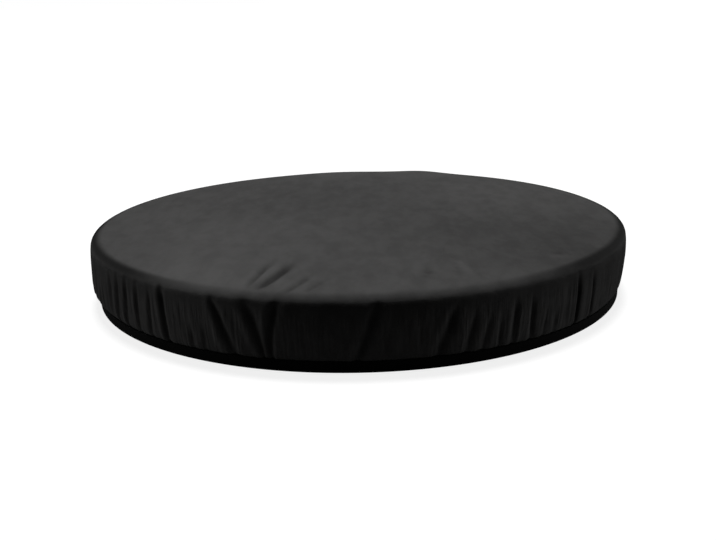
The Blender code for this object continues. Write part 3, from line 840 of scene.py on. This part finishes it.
def side_swell(azimuth, share):
    """How far the side stands out where the cloth hangs a little fuller."""
    rise = np.zeros_like(azimuth)
    for middle, down, turn, reach, high in SIDE_SWELLS:
        apart = ((azimuth - middle + 180) % 360 - 180) / turn
        rise += high * MM * np.exp(-(apart**2) - ((share - down) / reach) ** 2)
    return rise * smooth_step((1 - share) / 0.15)


print("creases:", len(CREASES), "swells:", len(SWELLS) + len(SIDE_SWELLS))

# %% [markdown]
# Now the turned surface is folded: each point moves along the outline's own inward direction by
# the depth of the folds there. The spin copies each outline point all round, and a layer on the
# points remembers which row they came from, so the direction is known. The painted shade that the
# velour reads grows with the depth, from a quarter where the cloth lies level. The cloth then gets
# its thickness inwards with a Solidify modifier.

# %% The cover
LEVEL_SHADE = 0.25
SHADE_DEPTH = 1.6 * MM


def inward(outline):
    """The inward direction at each point of an outline that runs out and down."""
    line = np.array(outline)
    run = np.gradient(line, axis=0)
    run /= np.linalg.norm(run, axis=1)[:, None]
    return np.stack((run[:, 1], -run[:, 0]), axis=1)


def cloth_lengths(outline):
    """The length of cloth from the middle to each point of an outline."""
    steps = np.linalg.norm(np.diff(np.array(outline), axis=0), axis=1)
    return np.concatenate(((0,), np.cumsum(steps)))


def cloth_share():
    """How far down the side each row lies: 0 at the shoulder, 1 at the hem, below 0 on top."""
    lengths = cloth_lengths(cover_outline)
    shoulder = len(crown) + 3
    corner = len(crown) + len(side) - 2
    return (lengths - lengths[shoulder]) / (lengths[corner] - lengths[shoulder])


def row_layer_spun(outline, steps):
    """A turned surface, open at its end, whose points know the row that they came from."""
    bm = bmesh.new()
    row = bm.verts.layers.int.new("row")
    points = []
    for number, (radius, height) in enumerate(outline):
        point = bm.verts.new((radius, 0, height))
        point[row] = number
        points.append(point)
    lines = [bm.edges.new(pair) for pair in zip(points, points[1:])]
    turned(bm, points + lines, steps)
    bm.faces.ensure_lookup_table()
    highest = max(bm.faces, key=lambda face: face.calc_center_median().z)
    if highest.normal.z < 0:
        bmesh.ops.reverse_faces(bm, faces=bm.faces)
    return bm


def fold_cover(mesh):
    """Moves the turned surface's points into the folds and notes their painted shade."""
    count = len(mesh.vertices)
    points = np.empty(count * 3)
    mesh.vertices.foreach_get("co", points)
    points = points.reshape(-1, 3)
    rows = np.empty(count, int)
    mesh.attributes["row"].data.foreach_get("value", rows)
    azimuth = np.degrees(np.arctan2(points[:, 0], -points[:, 1]))
    share = cloth_share()[rows]
    under = smooth_step((1.12 - share) / 0.16)
    depth = fold_depth(azimuth, share) * under
    top = smooth_step(1 - share / 0.35)
    depth += crease_depth(points[:, 0], points[:, 1]) * top
    # Painted shade: darker in the valleys and creases, lighter on the ridges
    shade = LEVEL_SHADE + depth / SHADE_DEPTH
    depth -= side_swell(azimuth, share)
    ways = inward(cover_outline)[rows]
    ways[rows == 0] = (0, -1)
    turn = np.radians(azimuth)
    points[:, 0] += depth * ways[:, 0] * np.sin(turn)
    points[:, 1] -= depth * ways[:, 0] * np.cos(turn)
    points[:, 2] += depth * ways[:, 1]
    mesh.vertices.foreach_set("co", points.ravel())
    # The fold attribute carries this painted shade to the velour
    fold = mesh.attributes.new("fold", "FLOAT", "POINT")
    fold.data.foreach_set("value", np.clip(shade, 0, 1))
    mesh.attributes.remove(mesh.attributes["row"])
    mesh.update()
    return depth


cover_bm = row_layer_spun(cover_outline, COVER_STEPS)
cover = put("gathered_cover", cover_bm, black_velour, "seat", "cover_cloth", 180)
fold_depths = fold_cover(cover.data)
thickness = cover.modifiers.new("cloth_thickness", "SOLIDIFY")
thickness.thickness = CLOTH
thickness.offset = -1
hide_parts("cover")
print("cover points:", len(cover.data.vertices), "deepest fold:", round(fold_depths.max() / MM, 2), "mm")

# %% [markdown]
# The pad is cut foam in the shape of the cover's inside: it fills the crown, follows the creases,
# and stays clear of the deepest folds at the side. Underneath it is flat where it lies on the
# turntable, with a round well over the head of the bolt. Its outline is the cover's own outline
# moved inwards, so the two always fit.

# %% Foam pad
FOAM_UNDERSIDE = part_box("foam_pad")[0].z
FOAM_GAP = 0.4 * MM
FOAM_CORNER = 2.5 * MM
WELL_RADIUS = 25.6 * MM
WELL_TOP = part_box("pivot_bolt")[1].z + 1.0 * MM
FOAM_STEPS = 300
CREASES_END = 44 * MM


def foam_outline():
    """The pad's outline: the cover's inside down to the turntable, then in along the bottom."""
    line = np.array(cover_outline)
    shares = cloth_share()
    depth = CLOTH + FOAM_GAP + DEEPEST_FOLD * smooth_step((shares + 0.2) / 0.4)
    moved = line + inward(cover_outline) * depth[:, None]
    moved[0] = (0, line[0][1] - depth[0])
    lowest = FOAM_UNDERSIDE + FOAM_CORNER
    wall = [tuple(p) for p, share in zip(moved, shares) if p[1] > lowest and share < 1]
    edge = wall[-1][0]
    for turn in np.radians((0, 30, 60, 90)):
        out = edge - FOAM_CORNER * (1 - math.cos(turn))
        wall.append((out, lowest - FOAM_CORNER * math.sin(turn)))
    return wall + [(WELL_RADIUS, FOAM_UNDERSIDE), (WELL_RADIUS, WELL_TOP), (0, WELL_TOP)]


foam_bm = spun(foam_outline(), FOAM_STEPS)
top_points = [point for point in foam_bm.verts if point.co.z > CREASES_END]
places = np.array([point.co for point in top_points])
drops = crease_depth(places[:, 0], places[:, 1]) * smooth_step((places[:, 2] - CREASES_END) / (3 * MM))
for point, drop in zip(top_points, drops):
    point.co.z -= drop
foam_pad = put("foam_cushion", foam_bm, grey_foam, "seat", "foam", 50)
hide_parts("foam_pad")
print("foam points:", len(foam_pad.data.vertices))

# %% [markdown]
# The elastic is a flat braid that lies in the hem's channel. Its ridges are modelled as ripples in
# its outline, and its own map, named braid, counts the threads along it and the ridges across it.
# Round the join of the ring, each face counts on from its own middle, so that no face runs from
# the last thread back to the first.

# %% Hem elastic
elastic_low, elastic_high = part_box("hem_elastic")
ELASTIC_WIDTH = 6.0 * MM
RIPPLE = 0.06 * MM
ELASTIC_STEPS = 360


def braid_outline(outer):
    """The band's section, with ridges on both faces."""
    count = 2 * BRAID_RIDGES
    radii = [outer - ELASTIC_WIDTH * k / count for k in range(count + 1)]
    ripples = [RIPPLE if k % 2 == 0 else 0 for k in range(count + 1)]
    under = [(r, elastic_low.z + ripple) for r, ripple in zip(radii, ripples)]
    over = [(r, elastic_high.z - ripple) for r, ripple in zip(radii, ripples)]
    return under + over[::-1]


def map_braid(bm, outer):
    """Threads along the ring and ridges across it, as the map that the braid's pattern reads."""
    layer = bm.loops.layers.uv.new("braid")
    for face in bm.faces:
        centre = face.calc_center_median()
        middle = math.atan2(centre.y, centre.x)
        for corner in face.loops:
            x, y, _ = corner.vert.co
            apart = (math.atan2(y, x) - middle + math.pi) % math.tau - math.pi
            along_ring = (middle + apart) * outer / BRAID_PITCH
            corner[layer].uv = (along_ring, (outer - math.hypot(x, y)) / ELASTIC_WIDTH)


elastic_outer = elastic_high.x
elastic_bm = spun(braid_outline(elastic_outer), ELASTIC_STEPS)
map_braid(elastic_bm, elastic_outer)
elastic = put("braided_hem_elastic", elastic_bm, black_braid, "seat", "elastic", 60)
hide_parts("hem_elastic")
print("elastic radius:", round(elastic_outer / MM, 1), "mm")

# %% [markdown]
# One line of machine stitches closes the channel. A stitch is a short bead of thread, so one tiny
# sphere is stretched along the seam for each, with few faces because there are hundreds. They are
# joined in one piece that belongs to the cloth.

# %% Hem stitches
STITCH_RADIUS = 188.6 * MM
STITCH_LENGTH = 2.7 * MM
STITCH_PITCH = 3.4 * MM
THREAD = 0.34 * MM

stitch_count = round(math.tau * STITCH_RADIUS / STITCH_PITCH)
stitch_bm = bmesh.new()
stitch_place = Matrix.Translation((STITCH_RADIUS, 0, HEM_UNDERSIDE))
stitch_size = Matrix.Diagonal((THREAD, STITCH_LENGTH, THREAD, 1))
bmesh.ops.create_uvsphere(
    stitch_bm,
    u_segments=6,
    v_segments=5,
    radius=0.5,
    matrix=stitch_place @ stitch_size,
)
bmesh.ops.spin(
    stitch_bm,
    geom=[*stitch_bm.verts, *stitch_bm.edges, *stitch_bm.faces],
    cent=(0, 0, 0),
    axis=(0, 0, 1),
    angle=math.tau * (stitch_count - 1) / stitch_count,
    steps=stitch_count - 1,
    use_duplicate=True,
)
stitches = put("hem_stitches", stitch_bm, black_braid, "seat", "elastic", 180)
print("stitches:", stitch_count)

# %% [markdown]
# The base plate is one moulding: a thin web with ring ribs and spokes under it, a thicker track
# for the balls, a boss for the pivot, eight seats for the rubber pads and the rim that shows under
# the cover. Its section is turned as an outline whose corners are all softened a little, as a
# mould leaves them. The spokes and the pad seats aren't round about the axis, so they are added
# and cut with Booleans, whose result is kept as a plain mesh.

# %% Helpers for moulded pieces
ROUNDING = 0.35 * MM


def softened(outline, radius=ROUNDING, closed=True):
    """The outline with each corner replaced by a short curve."""
    count = len(outline)
    points = []
    for k, corner in enumerate(outline):
        if not closed and k in (0, count - 1):
            points.append(corner)
            continue
        here = Vector(corner)
        before = Vector(outline[k - 1]) - here
        after = Vector(outline[(k + 1) % count]) - here
        start = before * min(0.45, radius / before.length)
        end = after * min(0.45, radius / after.length)
        bend = abs(math.pi - before.angle(after))
        if bend < math.radians(20):
            points.append(corner)
            continue
        points += [tuple(here + start), tuple(here + (start + end) / 4), tuple(here + end)]
    return points


def combined(bm, operation, tool):
    """The bmesh with the tool's shape added to it or cut from it."""
    made = []
    for part in (bm, tool):
        mesh = bpy.data.meshes.new("part")
        part.to_mesh(mesh)
        part.free()
        made.append(bpy.data.objects.new("part", mesh))
        bpy.context.collection.objects.link(made[-1])
    cut = made[0].modifiers.new("cut", "BOOLEAN")
    cut.operation = operation
    cut.solver = "EXACT"
    cut.object = made[1]
    seen = made[0].evaluated_get(bpy.context.evaluated_depsgraph_get())
    result = bmesh.new()
    result.from_mesh(seen.data)
    for part in made:
        bpy.data.objects.remove(part)
    return result


def post(bm, x, y, radius, low, high, sides=48, soften=0.0):
    """Adds an upright post or, where it is a tool, a round hole."""
    place = Matrix.Translation((x, y, (low + high) / 2))
    kept = {"radius1": radius, "radius2": radius, "depth": high - low}
    new = bmesh.ops.create_cone(bm, cap_ends=True, segments=sides, matrix=place, **kept)["verts"]
    if soften:
        lines = {line for corner in new for line in corner.link_edges}
        rims = [line for line in lines if abs(line.verts[0].co.z - line.verts[1].co.z) < MM / 100]
        bevel(bm, rims, soften)


def bevel(bm, lines, width, segments=2):
    bmesh.ops.bevel(
        bm,
        geom=lines,
        offset=width,
        affect="EDGES",
        segments=segments,
        profile=0.5,
        material=-1,
    )


def spoke(bm, turn, inner, outer, wide, low, high):
    """Adds a straight rib along a radius, with its long lower edges softened."""
    size = Matrix.Diagonal((outer - inner, wide, high - low, 1))
    middle = Matrix.Translation(((inner + outer) / 2, 0, (low + high) / 2))
    place = Matrix.Rotation(turn, 4, "Z") @ middle @ size
    new = bmesh.ops.create_cube(bm, size=1, matrix=place)["verts"]
    lines = {line for corner in new for line in corner.link_edges}
    bottom = [line for line in lines if max(v.co.z for v in line.verts) < low + MM / 100]
    bevel(bm, bottom, wide / 4)


print("helpers:", softened.__name__, combined.__name__, post.__name__, spoke.__name__)

# %% [markdown]
# The sizes below are the base plate's own. What another piece sets comes from that piece: the pads
# give the places of their seats, the cap the size of the recess in the middle, and the balls the
# height of the track.

# %% Base plate
PLATE_WEB = 2.5 * MM
RIM_WALL = 2.0 * MM
RIB_WALL = 1.6 * MM
RIB_TAPER = 1.2
RIB_SHORT = 0.6 * MM
RIM_BOTTOM = base_low.z
BOSS_TOP = base_high.z
BOSS_RADIUS = 15 * MM
BOLT_HOLE = 3.3 * MM
BASE_TOP = 7.5 * MM
CAP_SEAT = 2.9 * MM
CAP_SEAT_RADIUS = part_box("hub_cap")[1].x + 0.3 * MM
HUB_RADIUS = 21 * MM
TRACK_UNDERSIDE = 2.4 * MM
TRACK_INNER = 124 * MM
TRACK_OUTER = 142 * MM
TRACK_LINE = 133 * MM
BALL_HEIGHT = sum(corner.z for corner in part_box("ball_01")) / 2
GROOVE_RADIUS = 5.1 * MM
GROOVE_RISE = 0.8 * MM
GROOVE_POINTS = 15
PADS = 8
PAD_BOSS = 17.3 * MM
PAD_SEAT = 15.3 * MM
PAD_SEAT_TOP = 2.7 * MM
NUT_POCKET = 6.12 * MM
NUT_POCKET_TOP = 8.5 * MM
SPOKES = 8
BASE_STEPS = 240
WEB = BASE_TOP - PLATE_WEB
PAST = 2 * MM
INNER_RINGS = (55.3 * MM, 89.7 * MM)
OUTER_RING = (TRACK_OUTER + BASE_RADIUS - RIM_WALL) / 2
EJECTOR_RADIUS = 3.0 * MM
EJECTOR_STEP = 0.15 * MM
EJECTOR_PLACES = ((38 * MM, 8), (107 * MM, 16), (178 * MM, 24))


def rib_outline(middle):
    """A ring rib seen in section, from the inside out."""
    tip = RIM_BOTTOM + RIB_SHORT
    half = RIB_WALL / 2
    root = half * RIB_TAPER
    return [(middle - root, WEB), (middle - half, tip), (middle + half, tip), (middle + root, WEB)]


def base_outline():
    """Half the plate's section: below from the middle outwards, then back along the top."""
    groove_middle = BALL_HEIGHT + GROOVE_RISE
    half = math.acos((groove_middle - BASE_TOP) / GROOVE_RADIUS)
    groove = []
    for turn in np.linspace(half, -half, GROOVE_POINTS):
        out = TRACK_LINE + GROOVE_RADIUS * math.sin(turn)
        groove.append((out, groove_middle - GROOVE_RADIUS * math.cos(turn)))
    below = [
        (BOLT_HOLE, CAP_SEAT),
        (CAP_SEAT_RADIUS, CAP_SEAT),
        (CAP_SEAT_RADIUS, RIM_BOTTOM),
        (HUB_RADIUS, RIM_BOTTOM),
        (HUB_RADIUS, WEB),
        *[point for ring in INNER_RINGS for point in rib_outline(ring)],
        (TRACK_INNER, WEB),
        (TRACK_INNER, TRACK_UNDERSIDE),
        (TRACK_OUTER, TRACK_UNDERSIDE),
        (TRACK_OUTER, WEB),
        *rib_outline(OUTER_RING),
        (BASE_RADIUS - RIM_WALL, WEB),
        (BASE_RADIUS - RIM_WALL, RIM_BOTTOM),
    ]
    above = [
        (BASE_RADIUS, RIM_BOTTOM),
        (BASE_RADIUS, BASE_TOP),
        *groove,
        (BOSS_RADIUS, BASE_TOP),
        (BOSS_RADIUS, BOSS_TOP),
        (BOLT_HOLE, BOSS_TOP),
    ]
    return softened(below + above)


def middle_of(node):
    low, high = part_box(node)
    return (low + high) / 2


pad_places = [middle_of(f"grip_pad_{k + 1}") for k in range(PADS)]
added = bmesh.new()
for k in range(SPOKES):
    turn = math.tau * k / SPOKES
    low = RIM_BOTTOM + RIB_SHORT / 2
    spoke(added, turn, HUB_RADIUS - MM, TRACK_INNER + RIB_WALL, RIB_WALL, low, WEB + MM)
    spoke(added, turn, TRACK_OUTER - RIB_WALL, BASE_RADIUS - RIM_WALL / 2, RIB_WALL, low, WEB + MM)
for place in pad_places:
    post(added, place.x, place.y, PAD_BOSS, RIM_BOTTOM, WEB + MM, soften=ROUNDING)
for radius, count in EJECTOR_PLACES:
    for k in range(count):
        turn = math.tau * (k + 0.5) / count
        spot = (radius * math.cos(turn), radius * math.sin(turn))
        post(added, *spot, EJECTOR_RADIUS, WEB - EJECTOR_STEP, WEB + MM, 24)
cut = bmesh.new()
for place in pad_places:
    post(cut, place.x, place.y, PAD_SEAT, RIM_BOTTOM - PAST, PAD_SEAT_TOP)
post(cut, 0, 0, NUT_POCKET, CAP_SEAT - PAST, NUT_POCKET_TOP, 6)
base_bm = combined(combined(spun(base_outline(), BASE_STEPS), "UNION", added), "DIFFERENCE", cut)
base_plate = put("base_plate_moulding", base_bm, black_plastic, "base", "moulded_plastic", 30)
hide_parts("base_plate")
print("base plate faces:", len(base_plate.data.polygons))

# %% [markdown]
# The rubber pads stand the cushion on its seat and keep it from sliding. Each has ring grooves in
# its sole, so that it grips, and a softened edge. The cap closes the recess over the nut, flush
# with the rim, with a dished face and a small notch to lever it out.

# %% Rubber pads and hub cap
PAD_RADIUS = 15 * MM
PAD_ROUNDING = 0.3 * MM
PAD_STEPS = 64
PAD_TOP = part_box("grip_pad_1")[1].z
TREAD_RINGS = (12.2 * MM, 9.2 * MM, 6.2 * MM, 3.2 * MM)
TREAD_HALF = 0.55 * MM
TREAD_DEPTH = 0.7 * MM
CAP_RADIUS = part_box("hub_cap")[1].x
CAP_BOTTOM, CAP_TOP = (corner.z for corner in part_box("hub_cap"))
CAP_DISH = 0.35 * MM
CAP_BORDER = 3.2 * MM
CAP_STEPS = 96
NOTCH = (5.0 * MM, 1.4 * MM, 1.0 * MM)


def pad_outline():
    """Half a pad's section, from the middle of its top out and back along its sole."""
    sole = []
    for ring in TREAD_RINGS:
        for out, height in ((TREAD_HALF, 0), (TREAD_HALF * 0.6, TREAD_DEPTH),
                            (-TREAD_HALF * 0.6, TREAD_DEPTH), (-TREAD_HALF, 0)):
            sole.append((ring + out, height))
    corners = [(0, PAD_TOP), (PAD_RADIUS, PAD_TOP), (PAD_RADIUS, 0), *sole, (0, 0)]
    return softened(corners, PAD_ROUNDING, closed=False)


for number, place in enumerate(pad_places, start=1):
    pad_bm = spun(pad_outline(), PAD_STEPS)
    bmesh.ops.translate(pad_bm, verts=pad_bm.verts, vec=(place.x, place.y, 0))
    pad = put(f"rubber_pad_{number}", pad_bm, black_rubber, "base", "pad_rubber", 40)
    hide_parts(f"grip_pad_{number}")

cap_line = [
    (0, CAP_TOP),
    (CAP_RADIUS, CAP_TOP),
    (CAP_RADIUS, CAP_BOTTOM),
    (CAP_RADIUS - CAP_BORDER, CAP_BOTTOM),
    (CAP_RADIUS - CAP_BORDER - CAP_DISH, CAP_BOTTOM + CAP_DISH),
    (0, CAP_BOTTOM + CAP_DISH),
]
notch = bmesh.new()
notch_place = Matrix.Translation((0, -CAP_RADIUS, CAP_BOTTOM)) @ Matrix.Diagonal((*NOTCH, 1))
bmesh.ops.create_cube(notch, size=1, matrix=notch_place)
cap_outline = softened(cap_line, ROUNDING, closed=False)
cap_bm = combined(spun(cap_outline, CAP_STEPS), "DIFFERENCE", notch)
hub_cap = put("hub_cap_moulding", cap_bm, black_plastic, "base", "moulded_plastic", 30)
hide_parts("hub_cap")
print("pads:", len(pad_places), "cap faces:", len(hub_cap.data.polygons))

# %% [markdown]
# The pieces inside keep the shapes of the fixed model, and only change their finish: the
# turntable, the bush and the ring that it slides on, the cage, the balls and the bolt with its
# washer and nut.

# %% Finishes of the inner pieces
BALLS = 16
INNER_FINISHES = {
    "turntable_plate": black_plastic,
    "pivot_bush": white_nylon,
    "thrust_ring": white_nylon,
    "ball_cage": white_nylon,
    "pivot_bolt": plated_steel,
    "retaining_washer": plated_steel,
    "lock_nut": plated_steel,
}
for number in range(1, BALLS + 1):
    INNER_FINISHES[f"ball_{number:02d}"] = ball_steel
for name, material in INNER_FINISHES.items():
    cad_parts[name].material_slots[0].material = material
print("inner pieces with a finish:", len(INNER_FINISHES))
